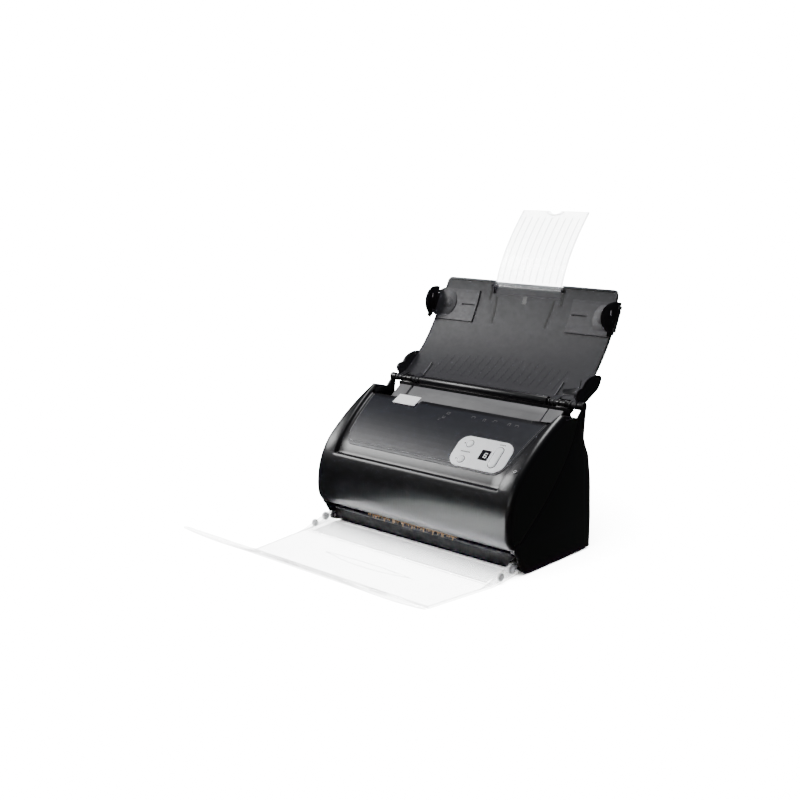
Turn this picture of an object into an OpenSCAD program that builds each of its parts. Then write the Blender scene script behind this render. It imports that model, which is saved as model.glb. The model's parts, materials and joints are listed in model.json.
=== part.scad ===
// Sheet fed document scanner with a folding input chute and a folding output tray.
// X runs across the body, the front faces -Y and the desk is z = 0.
// Side profiles are written as [y, z] points measured from the middle of the body.

/* [Body] */
// Width over the side panels
body_w = 318.5; // [310:0.5:326]
// How far the body's middle sits behind the origin
body_y = 48; // [46:0.5:50]
// Thickness of the side panels
panel_t = 3; // [2.6:0.1:3.2]
// Thickness of the other moulded walls
wall = 2.5; // [2:0.1:3]
// Depth of the recess between the cover's rails
recess = 6; // [5:0.25:6.5]

/* [Paper path] */
// Slope of the paper path from the desk
path_slope = 53; // [52.5:0.1:53.5]
// Gap between the two paper guides
path_gap = 2; // [1.8:0.1:2.2]
// Width of the rear paper guide
guide_w = 281; // [276:1:281]
// Radius of the driven rollers
roller_r = 9; // [8.8:0.1:9.1]
// How far a driven roller stands out of its guide
roller_show = 1; // [0.8:0.1:1.2]
// Radius of the roller shafts
shaft_r = 3; // [2.5:0.1:3.2]

/* [Gears] */
// Tooth size, as pitch diameter over teeth
gear_m = 1; // [1]
// Teeth on the gear of each driven roller
roller_teeth = 20; // [20]
// Teeth on the idler between the feed and exit rollers
idler_teeth = 34; // [34]
// Teeth on the idler between the pick and feed rollers
small_idler_teeth = 16; // [16]
// Teeth on the motor's pinion
pinion_teeth = 12; // [12]
// Width of a gear
gear_w = 6; // [5:0.5:6]

/* [Chute] */
// Thickness of the chute's panel
chute_t = 3; // [2.6:0.1:3.2]
// Width of the chute at its hinge
chute_w_low = 290; // [286:1:292]
// Width of the chute at its top
chute_w_top = 280; // [274:1:282]
// Distance from the middle to the outer edge of a paper guide
guide_out = 148.5; // [147:0.5:149]
// Distance from the middle to the inner edge of a paper guide
guide_in = 77; // [76:0.5:78]
// Width of the clear chute extension
extension_w = 108; // [100:1:110]

/* [Tray] */
// Thickness of the clear trays
tray_t = 2; // [1.6:0.1:2.4]
// Half width of the tray at its crease
tray_half = 157; // [154:0.5:158]
// Half width of the tray at its front edge
tray_front_half = 144; // [140:0.5:148]

/* [Hidden] */
$fn = 48;
eps = 0.01;
half = body_w / 2;
inner = half - panel_t;      // inside face of the side panels

// ---- points and curves ---------------------------------------------------------------

function bezier(a, b, c, n = 10) =
    [for (i = [0:n]) let (t = i / n) (1 - t) * (1 - t) * a + 2 * t * (1 - t) * b + t * t * c];
function arc(c, r, a0, a1, n = 8) =
    [for (i = [0:n]) c + r * [cos(a0 + (a1 - a0) * i / n), sin(a0 + (a1 - a0) * i / n)]];
function flip(p) = [for (i = [len(p) - 1:-1:0]) p[i]];
function tail(p) = [for (i = [1:len(p) - 1]) p[i]];
// Unit vector a quarter turn clockwise from the path's direction at point i.
function side_of(p, i) =
    let (a = p[max(0, i - 1)], b = p[min(len(p) - 1, i + 1)], d = (b - a) / norm(b - a))
    [d.y, -d.x];
function shifted(p, by) = [for (i = [0:len(p) - 1]) p[i] + by * side_of(p, i)];
function band(p, from, to) = concat(shifted(p, from), flip(shifted(p, to)));
function piece_of(p, a, b) = [for (i = [a:b]) p[i]];

module stand() {
    translate([0, body_y, 0]) children();
}
// A [y, z] outline drawn out from x0 to x1.
module slab(x0, x1, outline) {
    translate([x0, 0, 0])
        rotate([90, 0, 90])
            linear_extrude(x1 - x0)
                polygon(outline);
}
module both_sides() {
    children();
    mirror([1, 0, 0]) children();
}
// A rod along X about a [y, z] centre.
module rod(x0, x1, c, r) {
    translate([x0, c.x, c.y])
        rotate([0, 90, 0])
            cylinder(h = x1 - x0, r = r);
}
module block(x, y, z) {
    translate([x[0], y[0], z[0]])
        cube([x[1] - x[0], y[1] - y[0], z[1] - z[0]]);
}

// ---- shared side profiles ------------------------------------------------------------

cover_pivot = [-63, 36];
cover_boss_r = 7;
chute_hinge = [68, 185];
barrel_r = 4;
pin_r = 2;
fit = 0.05;                  // radial clearance of a running fit
tray_pivot = [-60, 14];

cover_top = bezier([25, 181], [-24, 157], [-60, 122], 12);
cover_nose = bezier([-60, 122], [-82.5, 96.3], [-82.5, 60], 10);
cover_chin = bezier([-82.5, 60], [-82.5, 42], [-71.5, 35.2], 6);
cover_outer = concat(cover_top, tail(cover_nose), tail(cover_chin));
seam_low = cover_pivot + cover_boss_r * [cos(62), sin(62)];
seam = bezier(seam_low, [38, 109.5], [55, 173.5], 14);
base_back = [[72, 179], [70, 163], [69, 146], [74, 134], [80, 124], [86, 91], [88.5, 44], [88.7, 3]];
base_toe = concat(
    [[-36, 1.6], [-47, 3], [-52, 6]],
    arc(cover_pivot, cover_boss_r, 242, 62, 10));

// ---- paper path ----------------------------------------------------------------------

path_top = [32, 157];
path_down = -[cos(path_slope), sin(path_slope)];
path_out = [-sin(path_slope), cos(path_slope)];
function path_point(s, h) = path_top + s * path_down + h * path_out;
// Local Y runs up the path, local Z stands out of the rear guide towards the cover.
module on_path(s, h = 0) {
    translate([0, path_point(s, h).x, path_point(s, h).y])
        rotate([path_slope, 0, 0])
            children();
}
path_low = 146;              // where the rear guide ends
pick_s = 22;
feed_s = pick_s + gear_m * (roller_teeth + small_idler_teeth);
exit_s = feed_s + gear_m * (roller_teeth + idler_teeth);
roller_h = roller_show - roller_r;
pinch_r = 5;
pinch_gap = 0.3;
pinch_h = roller_show + pinch_gap + pinch_r;
pinch_shaft_r = 2;
front_s = 76;                // middle of the cover's image sensor
rear_s = 88;                 // middle of the base's image sensor
glass_len = 12;
glass_half = 112;
sensor_half = 115;
tyre_w = 14;
feed_tyres = [-95, -35, 35, 95];
pick_tyres = [-14, 14];
cover_guide_half = 138;

module tyre_windows(places, s, length, from, to) {
    for (x = places)
        on_path(s)
            block([x - tyre_w / 2 - 1, x + tyre_w / 2 + 1], [-length / 2, length / 2], [from, to]);
}

// ---- gears ---------------------------------------------------------------------------

gear_x = -152;
// Straight sided teeth with room to roll, tooth 0 centred on the local +X axis.
function gear_outline(teeth, m) =
    let (r = m * teeth / 2, step = 360 / teeth)
    [for (i = [0:teeth - 1], k = [0:3])
        let (reach = [-1.15, 0.8, 0.8, -1.15][k] * m, turn = [-0.29, -0.12, 0.12, 0.29][k])
        (r + reach) * [cos((i + turn) * step), sin((i + turn) * step)]];
module gear(teeth, m, width, turned = 0) {
    rotate(turned)
        linear_extrude(width)
            polygon(gear_outline(teeth, m));
}
// A gear about X, with its tooth 0 turned from the path's downward direction.
module path_gear(s, h, teeth, turned) {
    translate([gear_x, path_point(s, h).x, path_point(s, h).y])
        rotate([90, 0, 90])
            gear(teeth, gear_m, gear_w, 180 + path_slope + turned);
}
// Half a tooth of turn, so that a gear's gap meets its neighbour's tooth.
function half_tooth(teeth) = 180 / teeth;

// ---- base ----------------------------------------------------------------------------

hinge_boss_r = 5.6;          // boss at the end of each chute hinge pin
side_outline = concat(arc(chute_hinge, hinge_boss_r, 215, -40, 12), base_back, [[30, 2]], base_toe, tail(seam));

hinge_boss_in = 150.4;
hinge_boss_step = 0.4;       // the bored boss is this much slimmer than the panel's own rounding
module side_panel() {
    slab(inner, half, side_outline);
    difference() {
        rod(hinge_boss_in, inner + 1, chute_hinge, hinge_boss_r - hinge_boss_step);
        rod(hinge_boss_in - 1, hinge_boss_in + 3, chute_hinge, pin_r);
    }
}
module left_side_panel() {
    color("#151517")
        stand() mirror([1, 0, 0]) side_panel();
}
module right_side_panel() {
    color("#151517")
        stand() side_panel();
}

port_z = 30;
jack_x = 112;
usb_x = 80;
switch_x = 138;
rear_inside = [for (p = piece_of(base_back, 1, 7)) p - [wall, 0]];
module port_hole(x, w, h) {
    block([x - w / 2, x + w / 2], [80, 92], [port_z - h / 2, port_z + h / 2]);
}
module rear_cover() {
    outline = concat([[62.3, 174], [65, 174]], piece_of(base_back, 1, 7), flip(rear_inside));
    color("#18181a")
        stand() difference() {
            slab(-inner, inner, outline);
            both_sides() block([141, inner + 1], [55, 70], [164, 176]);
            port_hole(usb_x, 13, 12);
            port_hole(switch_x, 22, 14);
            translate([jack_x, 80, port_z]) rotate([-90, 0, 0]) cylinder(h = 12, r = 5.5);
            for (i = [-5:5])
                block([i * 8 - 1.5, i * 8 + 1.5], [80, 92], [52, 76]);
        }
}

foot_x = 132;
foot_front = -24;
foot_rear = 76;
foot_r = 7;
plate_z = [3, 5.5];
module bottom_plate() {
    color("#202022")
        stand() difference() {
            block([-inner, inner], [-43.5, 85.8], plate_z);
            for (i = [-6:6])
                block([i * 14 - 2, i * 14 + 2], [0, 40], [0, 10]);
        }
}
module rubber_feet() {
    color("#2a2a2a")
        stand() both_sides()
            for (y = [foot_front, foot_rear])
                translate([foot_x, y, 0]) cylinder(h = plate_z[0], r = foot_r);
}

sill_half = 150.5;
lug_in = 146;
module exit_sill() {
    color("#1b1b1d")
        stand() union() {
            slab(-lug_in, lug_in, [[-43.5, 5.6], [-46, 5.6], [-51.5, 21], [-59, 24.6], [-59.5, 26.8],
                                   [-49, 25.5], [-45, 21]]);
            both_sides() difference() {
                slab(lug_in, sill_half, concat(
                    [[-43.5, 5.6], [-46, 5.6]],
                    arc(tray_pivot, 5, 250, 70),
                    [[-43.5, 22]]));
                rod(lug_in - 1, sill_half + 1, tray_pivot, 2.5);
            }
        }
}
module tray_hinge_pins() {
    color("#8c8c8e")
        stand() both_sides() rod(lug_in, 155.2, tray_pivot, 2.5);
}

module rear_paper_guide() {
    color("#232326")
        stand() difference() {
            on_path(0) block([-guide_w / 2, guide_w / 2], [-path_low, 0], [-wall, 0]);
            tyre_windows(pick_tyres, pick_s, 2 * roller_r + 2, -wall - 1, 1);
            tyre_windows(feed_tyres, feed_s, 2 * roller_r + 2, -wall - 1, 1);
            tyre_windows(feed_tyres, exit_s, 2 * roller_r + 2, -wall - 1, 1);
            on_path(rear_s)
                block([-glass_half, glass_half], [-glass_len / 2, glass_len / 2], [-wall - 1, 1]);
        }
}
module rear_scan_glass() {
    color("#9fb4bd", 0.5)
        stand() on_path(rear_s)
            block([-glass_half, glass_half], [-glass_len / 2, glass_len / 2], [-wall, 0]);
}
module rear_image_sensor() {
    color("#3b4a3e")
        stand() on_path(rear_s)
            block([-sensor_half, sensor_half], [-8, 8], [-15, -wall - 0.2]);
}

ramp_top = [59.5, 177.5];
ramp_half = 111;
ramp_blocks = [114, 135];
ramp_face = [path_top + [0.6, 0.8], ramp_top];
module entry_ramp() {
    color("#6d6d70")
        stand() union() {
            slab(-ramp_half, ramp_half, band(ramp_face, 0, wall));
            slab(-ramp_half, ramp_half, [[50, 170.6], [59.5, 177.5], [59.5, 170.6]]);
            both_sides() {
                slab(ramp_blocks[0], ramp_blocks[1], [[34, 160], [58, 178], [58, 168], [40, 160]]);
                slab(ramp_half - eps, ramp_blocks[0] + eps, [[38, 159], [56, 172], [56, 168], [41, 157]]);
            }
        }
}

frame_in = 141;
frame_out = 142.5;
motor_r = 17;
motor_h = roller_h - gear_m * (idler_teeth + pinion_teeth) / 2;
motor_s = (feed_s + exit_s) / 2;
small_idler_s = pick_s + gear_m * (roller_teeth + small_idler_teeth) / 2;
module side_frames() {
    outline = [[-38, 5.6], [60, 5.6], [60, 120], [44, 158], path_point(6, -0.5),
               path_point(138, -0.5), [-40, 30]];
    color("#a9abae")
        stand() union() {
            both_sides() difference() {
                slab(frame_in, frame_out, outline);
                for (s = [pick_s, feed_s, exit_s])
                    rod(frame_in - 1, frame_out + 1, path_point(s, roller_h), shaft_r + fit);
                rod(frame_in - 1, frame_out + 1, path_point(motor_s, motor_h), 4);
            }
            for (s = [motor_s, small_idler_s])
                rod(gear_x - 0.5, -frame_in, path_point(s, roller_h), 2);
        }
}
module stepper_motor() {
    color("#8d8f92")
        stand() union() {
            rod(-frame_in + eps, -118, path_point(motor_s, motor_h), motor_r);
            rod(gear_x - 1, -frame_in + 1, path_point(motor_s, motor_h), 1.5);
        }
}

module main_board() {
    color("#2c5a38")
        stand() union() {
            block([-100, 128], [62, 63.6], [10, 90]);
            for (x = [-70:28:70])
                block([x - 8, x + 8], [59.5, 62], [50, 66]);
            for (x = [-60:30:60])
                translate([x, 62 + eps, 28]) rotate([90, 0, 0]) cylinder(h = 9, r = 5);
        }
}
module dc_jack() {
    color("#1a1a1a")
        stand() difference() {
            union() {
                block([jack_x - 7, jack_x + 7], [63.6, 85.8], [port_z - 6.5, port_z + 6.5]);
                translate([jack_x, 85, port_z]) rotate([-90, 0, 0]) cylinder(h = 3, r = 5.2);
            }
            translate([jack_x, 76, port_z]) rotate([-90, 0, 0]) cylinder(h = 20, r = 3);
        }
}
module usb_port() {
    color("#b9bbbe")
        stand() difference() {
            block([usb_x - 6, usb_x + 6], [63.6, 88], [port_z - 5.5, port_z + 5.5]);
            block([usb_x - 4.5, usb_x + 4.5], [76, 89], [port_z - 4, port_z + 4]);
        }
}
rocker = [84, 30];
module switch_housing() {
    color("#1d1d1f")
        stand() difference() {
            block([switch_x - 10.5, switch_x + 10.5], [72, 88.4], [port_z - 6.8, port_z + 6.8]);
            block([switch_x - 8, switch_x + 8], [74, 90], [port_z - 5.8, port_z + 5.8]);
            rod(switch_x - 9.8, switch_x + 9.8, rocker, 1 + fit);
        }
}
module power_switch() {
    color("#101012")
        stand() union() {
            slab(switch_x - 7.5, switch_x + 7.5,
                 [[80, 27], [80, 33], [88.2, 34.6], [86.9, 30], [88.2, 25.4]]);
            rod(switch_x - 9.5, switch_x + 9.5, rocker, 1);
        }
}

screw_y = [-10, 60];
module housing_screws() {
    color("#7e8083")
        stand() both_sides()
            for (y = screw_y)
                translate([120, y, plate_z[0] - 1.6]) cylinder(h = 1.6, r = 3);
}

hinge_lug = [119.5, 136.5];
module hinge_brackets() {
    color("#0e0e10")
        stand() difference() {
            union() {
                rod(-105, 105, chute_hinge, 6);
                slab(-105, 105, [[62.3, 174], [65, 174], [69, 179.4], [63.5, 182]]);
                slab(-141, 141, [[62.3, 174], [65, 174], [71.5, 177], [71.5, 180.6], [62.3, 180.5]]);
                both_sides() {
                    rod(hinge_lug[0], hinge_lug[1], chute_hinge, barrel_r);
                    slab(hinge_lug[0], hinge_lug[1], [[62.3, 174], [65, 174], [71, 183], [65, 183]]);
                }
            }
            both_sides() rod(hinge_lug[0] - 1, hinge_lug[1] + 1, chute_hinge, pin_r);
        }
}
module chute_hinge_pins() {
    color("#9a9c9f")
        stand() both_sides() rod(107, hinge_boss_in + 3, chute_hinge, pin_r);
}
module cover_pivot_pins() {
    color("#9a9c9f")
        stand() both_sides() rod(150.6, inner, cover_pivot, 3.5);
}

// ---- driven rollers ------------------------------------------------------------------

module tyres(places, s) {
    for (x = places)
        difference() {
            rod(x - tyre_w / 2, x + tyre_w / 2, path_point(s, roller_h), roller_r);
            rod(x - tyre_w, x + tyre_w, path_point(s, roller_h), shaft_r);
        }
}
module roller_shaft(s, turned) {
    rod(-frame_out - 0.5, frame_out + 1, path_point(s, roller_h), shaft_r);
    rod(gear_x, -frame_out, path_point(s, roller_h), shaft_r);
    rod(gear_x + gear_w, -frame_out - 0.4, path_point(s, roller_h), 5);
    path_gear(s, roller_h, roller_teeth, turned);
}
module pick_roller() {
    color("#3c4a58")
        stand() tyres(pick_tyres, pick_s);
}
module pick_shaft() {
    color("#c9c9c4")
        stand() roller_shaft(pick_s, 0);
}
module feed_roller() {
    color("#3c4a58")
        stand() tyres(feed_tyres, feed_s);
}
module feed_shaft() {
    color("#c9c9c4")
        stand() roller_shaft(feed_s, 0);
}
module exit_roller() {
    color("#3c4a58")
        stand() tyres(feed_tyres, exit_s);
}
module exit_shaft() {
    color("#c9c9c4")
        stand() roller_shaft(exit_s, 0);
}
module idler(s, teeth) {
    difference() {
        union() {
            path_gear(s, roller_h, teeth, half_tooth(teeth));
            rod(gear_x + gear_w - 1, -frame_out - 0.4, path_point(s, roller_h), 4);
        }
        rod(gear_x - 1, -frame_in, path_point(s, roller_h), 2 + fit);
    }
}
module idler_gear() {
    color("#d8d4c8")
        stand() idler(motor_s, idler_teeth);
}
module small_idler_gear() {
    color("#d8d4c8")
        stand() idler(small_idler_s, small_idler_teeth);
}
module motor_pinion() {
    color("#c2a45a")
        stand() difference() {
            translate([gear_x, path_point(motor_s, motor_h).x, path_point(motor_s, motor_h).y])
                rotate([90, 0, 90])
                    gear(pinion_teeth, gear_m, gear_w, path_slope + 90 + half_tooth(pinion_teeth));
            rod(gear_x - 1, gear_x + gear_w + 1, path_point(motor_s, motor_h), 1.5 + fit);
        }
}

// ---- front cover ---------------------------------------------------------------------

groove_y = -71.7;            // lower end of the recess
recess_top_half = 150.5;
recess_low_half = 133.5;
cover_back_y = 14;           // rear edge of the cover between its rails
skin = recess + wall;
groove_z = 93.5;
cover_upper = concat(cover_top, tail(piece_of(cover_nose, 0, 7)));
// Prism standing on the recess' trapezoid, shrunk at its sides by a margin.
module recess_prism(margin = 0) {
    slope = (recess_top_half - recess_low_half) / (25 - groove_y);
    top_half = recess_top_half + 5 * slope - margin;
    low_half = recess_low_half - 12 * slope - margin;
    translate([0, 0, groove_z])
        linear_extrude(130)
            polygon([[-top_half, 30], [-low_half, groove_y - 12],
                     [low_half, groove_y - 12], [top_half, 30]]);
}
cap_edge = shifted(seam, -0.6);
cap_outline = concat(
    cover_outer,
    arc(cover_pivot, cover_boss_r + 0.4, 183, 62, 8),
    tail(cap_edge));
cap_in = inner - 0.35;
arm_in = 152.8;
module cover_arm() {
    difference() {
        slab(arm_in, cap_in + eps, concat(
            arc(cover_pivot, cover_boss_r - 0.6, 200, 330, 10),
            [[-52, 52], [-20, 84], [10, 116], [22, 150], [0, 158], [-40, 126], [-70, 84]]));
        rod(arm_in - 1, cap_in + 1, cover_pivot, 3.5 + fit);
    }
}
module front_cover_shell() {
    color("#17171a")
        stand() union() {
            difference() {
                slab(-cap_in - eps, cap_in + eps, band(cover_outer, 0, -wall));
                recess_prism();
                block([-recess_top_half, recess_top_half], [cover_back_y, 30], [150, 190]);
                light_hole();
            }
            difference() {
                slab(-cap_in - eps, cap_in + eps, band(cover_upper, -wall + eps, -skin));
                intersection() {
                    recess_prism();
                    slab(-half, half, band(cover_upper, 5, -recess));
                }
                block([-recess_top_half, recess_top_half], [cover_back_y, 30], [150, 190]);
                block([tab_x[0] - 2, tab_x[1] + 2], [8, 30], [156, 190]);
                control_pocket();
            }
            both_sides() {
                slab(cap_in, half, cap_outline);
                slab(recess_top_half, cap_in + eps, [[20, 160], [24.9, 180.9], [50, 174.6], [49, 169], [34, 160]]);
                cover_arm();
            }
            difference() {
                slab(-145, 145, [[13.6, 165.5], [14, 168.5], [21.4, 150.8], [19.6, 149.6]]);
                block([tab_x[0] - 2, tab_x[1] + 2], [0, 30], [156, 180]);
            }
        }
}

panel_low_y = -58.5;          // lower edge of the top panel
panel_gap = 6.5;             // between the top panel and the side of the recess
panel_corner = 13;
panel_lip = 1;               // the top panel stands this far above the recess' floor
module panel_plan() {
    edge = recess_low_half - panel_gap + 2.2;
    turn = [edge - panel_corner, panel_low_y + panel_corner];
    translate([0, 0, 90])
        linear_extrude(100)
            polygon(concat([[half, 10], [half, turn.y]], arc(turn, panel_corner, 0, -90),
                           arc([-turn.x, turn.y], panel_corner, 270, 180), [[-half, turn.y], [-half, 10]]));
}
module top_panel() {
    color("#1c1f28")
        stand() difference() {
            intersection() {
                slab(-half, half, band(cover_upper, -recess + panel_lip + 0.6, -recess));
                recess_prism(panel_gap);
                panel_plan();
            }
            control_pocket();
            block([tab_x[0] - 2, tab_x[1] + 2], [7, 30], [150, 190]);
        }
}

// Controls lie on a flat frame across the middle of the control plate.
control = [-39.8, 133.3];
control_slope = 41.5;
control_x = 85;
control_w = 83;
control_l = 45;
control_r = 15;
module on_control(x, up, h = 0) {
    translate([0, control.x, control.y])
        rotate([control_slope, 0, 0])
            translate([x, up, h])
                children();
}
module control_shape(margin, depth) {
    r = control_r + margin;
    linear_extrude(depth)
        union() {
            square([control_w - 2 * control_r, control_l + 2 * margin], center = true);
            square([control_w + 2 * margin, control_l - 2 * control_r], center = true);
            for (x = [-1, 1], y = [-1, 1])
                translate([x * (control_w / 2 - control_r), y * (control_l / 2 - control_r)])
                    circle(r = r);
        }
}
module control_pocket() {
    on_control(control_x, 0, -6) control_shape(0.2, 16);
}
button_up = [62, 11];
button_down = [62, -13];
button_r = 4.6;
scan_at = [108, -1];
scan_w = 11;
scan_l = 30;
window_at = [91, -1];
module stadium(w, l, h) {
    linear_extrude(h)
        union() {
            square([w, l - w], center = true);
            for (y = [-1, 1])
                translate([0, y * (l - w) / 2]) circle(r = w / 2);
        }
}
module control_plate() {
    color("#c6c9cc")
        stand() difference() {
            on_control(control_x, 0, -1.8) control_shape(0, 2.8);
            for (b = [button_up, button_down])
                on_control(b.x, b.y, -3) cylinder(h = 8, r = button_r + 0.3);
            on_control(scan_at.x, scan_at.y, -3) stadium(scan_w + 0.6, scan_l + 0.6, 8);
            on_control(window_at.x, window_at.y, 0.2)
                block([-7, 7], [-7.5, 7.5], [0, 3]);
        }
}
module display_window() {
    color("#08080a")
        stand() on_control(window_at.x, window_at.y, 0.2)
            block([-6.9, 6.9], [-7.4, 7.4], [0, 0.7]);
}
button_base = -3.6;
module round_button(at) {
    on_control(at.x, at.y, button_base) cylinder(h = 5.8, r = button_r);
}
module up_button() {
    color("#d2d4d6")
        stand() round_button(button_up);
}
module down_button() {
    color("#d2d4d6")
        stand() round_button(button_down);
}
module scan_button() {
    color("#d2d4d6")
        stand() on_control(scan_at.x, scan_at.y, button_base) stadium(scan_w, scan_l, 5.8);
}
module control_board() {
    color("#2c5a38")
        stand() on_control(control_x, 0, -8.6)
            block([-38, 38], [-20, 20], [0, 1.6]);
}
light_at = [147.4, -55.6, 125.9];
module light_hole() {
    translate(light_at) rotate([42, 0, 0]) translate([0, 0, -0.6]) cylinder(h = 3, r = 2.1);
}
module status_light() {
    color("#6a6f74")
        stand() translate(light_at)
            rotate([42, 0, 0]) translate([0, 0, -0.6]) cylinder(h = 1.4, r = 2);
}

module pinch_windows(s) {
    for (x = feed_tyres)
        on_path(s) block([x - 8, x + 8], [-6, 6], [path_gap - 1, path_gap + 3]);
}
bearing = [128, 132];
module pinch_bearings(s) {
    both_sides() difference() {
        on_path(s) block(bearing, [-4, 4], [path_gap + 1, pinch_h + 4]);
        rod(bearing[0] - 1, bearing[1] + 1, path_point(s, pinch_h), pinch_shaft_r + fit);
    }
}
pad_half = 24;
module inner_paper_guide() {
    color("#26262a")
        stand() union() {
            difference() {
                on_path(0)
                    block([-cover_guide_half, cover_guide_half], [-144, -12], [path_gap, path_gap + 2]);
                pinch_windows(feed_s);
                pinch_windows(exit_s);
                on_path(pick_s) block([-pad_half, pad_half], [-8, 20], [0, 8]);
                on_path(front_s)
                    block([-glass_half, glass_half], [-glass_len / 2, glass_len / 2], [0, 8]);
            }
            pinch_bearings(feed_s);
            pinch_bearings(exit_s);
        }
}
module front_scan_glass() {
    color("#9fb4bd", 0.5)
        stand() on_path(front_s)
            block([-glass_half, glass_half], [-glass_len / 2, glass_len / 2], [path_gap, path_gap + 2]);
}
module front_image_sensor() {
    color("#3b4a3e")
        stand() on_path(front_s)
            block([-sensor_half, sensor_half], [-7.5, 7.5], [path_gap + 2.2, path_gap + 13]);
}
module separation_pad() {
    color("#5b4636")
        stand() on_path(pick_s)
            block([-pad_half + 2, pad_half - 2], [-7, 6], [roller_show + 0.4, roller_show + 8]);
}
module pinch_rollers(s) {
    rod(-bearing[1] - 1, bearing[1] + 1, path_point(s, pinch_h), pinch_shaft_r);
    for (x = feed_tyres)
        rod(x - tyre_w / 2, x + tyre_w / 2, path_point(s, pinch_h), pinch_r);
}
module feed_pinch_rollers() {
    color("#b7b3a8")
        stand() pinch_rollers(feed_s);
}
module exit_pinch_rollers() {
    color("#b7b3a8")
        stand() pinch_rollers(exit_s);
}
brush_half = 75;
module static_brush() {
    color("#7a5a34")
        stand() union() {
            slab(-brush_half, brush_half, [[-69, 40], [-69, 44], [-64.5, 44], [-64.5, 40]]);
            for (x = [-brush_half + 3:6:brush_half - 3])
                slab(x - 1.5, x + 1.5, [[-67.5, 34.5], [-67.5, 40.1], [-66, 40.1], [-66, 34.5]]);
        }
}

latch_at = [11, 158];
latch_arm = [146, 149];
tab_x = [-99, -61];
module latch_shaft() {
    color("#9a9c9f")
        stand() union() {
            rod(-latch_arm[1], latch_arm[1], latch_at, 2);
            both_sides() slab(latch_arm[0], latch_arm[1], concat(
                arc(latch_at, 4, 60, 240),
                [[14, 151], [19, 150], [18.5, 153]]));
        }
}
module release_tab() {
    top = piece_of(shifted(cover_top, -recess + panel_lip + 2.2), 1, 3);
    bottom = piece_of(shifted(cover_top, -recess + panel_lip + 0.9), 1, 3);
    color("#e4e6e8")
        stand() difference() {
            union() {
                slab(tab_x[0], tab_x[1], concat(top, flip(bottom)));
                slab(tab_x[0] + 6, tab_x[1] - 6, [[15, 172], [18.4, 173.6], [13.5, 157], [9, 157]]);
                rod(tab_x[0] + 6, tab_x[1] - 6, latch_at, 4);
            }
            rod(tab_x[0] - 1, tab_x[1] + 1, latch_at, 2);
        }
}

// ---- input chute ---------------------------------------------------------------------

chute_face = bezier([75, 189], [142.4, 236.2], [166, 318], 16);
notch_z = 300;
ear = [145, 148.5];
knuckle_in = [107.5, 119];
knuckle_out = [137, 145.2];
// Prism over the chute's tapering plan, seen from the front.
module chute_plan(low_half, top_half) {
    translate([0, 190, 0])
        rotate([90, 0, 0])
            linear_extrude(140)
                polygon(concat([[-low_half, 180], [low_half, 180], [low_half, 262]],
                               arc([top_half - 8, 310], 8, 0, 90, 6),
                               arc([8 - top_half, 310], 8, 90, 180, 6), [[-low_half, 262]]));
}
// Frame on the chute's face at a height z: local Y up the chute, local Z out of its face.
function face_index(z) = [for (i = [0:15]) if (chute_face[i].y <= z && chute_face[i + 1].y > z) i][0];
function face_point(z) =
    let (i = face_index(z), a = chute_face[i], b = chute_face[i + 1])
    a + (b - a) * (z - a.y) / (b.y - a.y);
function face_slope(z) =
    let (i = face_index(z), d = chute_face[i + 1] - chute_face[i])
    atan2(d.y, d.x);
module on_face(z) {
    p = face_point(z);
    translate([0, p.x, p.y])
        rotate([face_slope(z), 0, 0])
            children();
}
rack_z = 262;
rack_pitch = 5;              // pitch radius of the guide pinion
rack_m = 1;
stem_x = 133;
slot_x = [75.6, 136.6];
rack_depth = [3.6, 6.4];     // behind the chute's face
rack_back = 8;               // far edge of a rack from the pinion's middle
module chute_ear() {
    rod(ear[0], ear[1], chute_hinge, 5);
    slab(ear[0], ear[1], concat(
        [[71, 181.5], [69.5, 190]],
        bezier([66.4, 194], [61.5, 201], [70, 204.5], 6),
        bezier([77, 205.5], [84, 217], [104, 217.5], 6),
        bezier([112, 217], [128, 216], [112.7, 199], 5),
        [[88.5, 187], [76, 181.5]]));
}
flap_z = 311.5;
flap_n = [-sin(face_slope(flap_z)), cos(face_slope(flap_z))];
flap_axis = face_point(flap_z) + 0.4 * flap_n;
flap_pin_r = 1.2;
flap_lug = [55.5, 59];
module chute_panel() {
    color("#2f2f33")
        stand() difference() {
            union() {
                intersection() {
                    slab(-half, half, band(chute_face, 0, chute_t));
                    chute_plan(chute_w_low / 2, chute_w_top / 2);
                }
                both_sides() {
                    chute_ear();
                    for (k = [knuckle_in, knuckle_out]) {
                        rod(k[0], k[1], chute_hinge, barrel_r);
                        slab(k[0], k[1], [[68, 181], [72, 183], [84, 192], [79, 192], [68, 189]]);
                    }
                    rod(flap_lug[0], flap_lug[1], flap_axis, 2.6);
                }
            }
            both_sides() {
                rod(100, 149, chute_hinge, pin_r + fit);
                rod(flap_lug[0] - 1, flap_lug[1] + 1, flap_axis, flap_pin_r + fit);
                on_face(rack_z) block(slot_x, [3, 7], [-9, 2]);
            }
            block([-flap_lug[0], flap_lug[0]], [140, 190], [notch_z, 330]);
        }
}

cover_half = 140;
module rack_cover() {
    color("#26262a")
        stand() on_face(rack_z) union() {
            block([-cover_half, cover_half], [-11.5, 10.5], [-8.2, -7.2]);
            block([-66, 66], [-11.5, -10.5], [-8.2, -3.1]);
            translate([0, 0, -7.3]) cylinder(h = 3.9, r = 1.5);
        }
}

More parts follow.
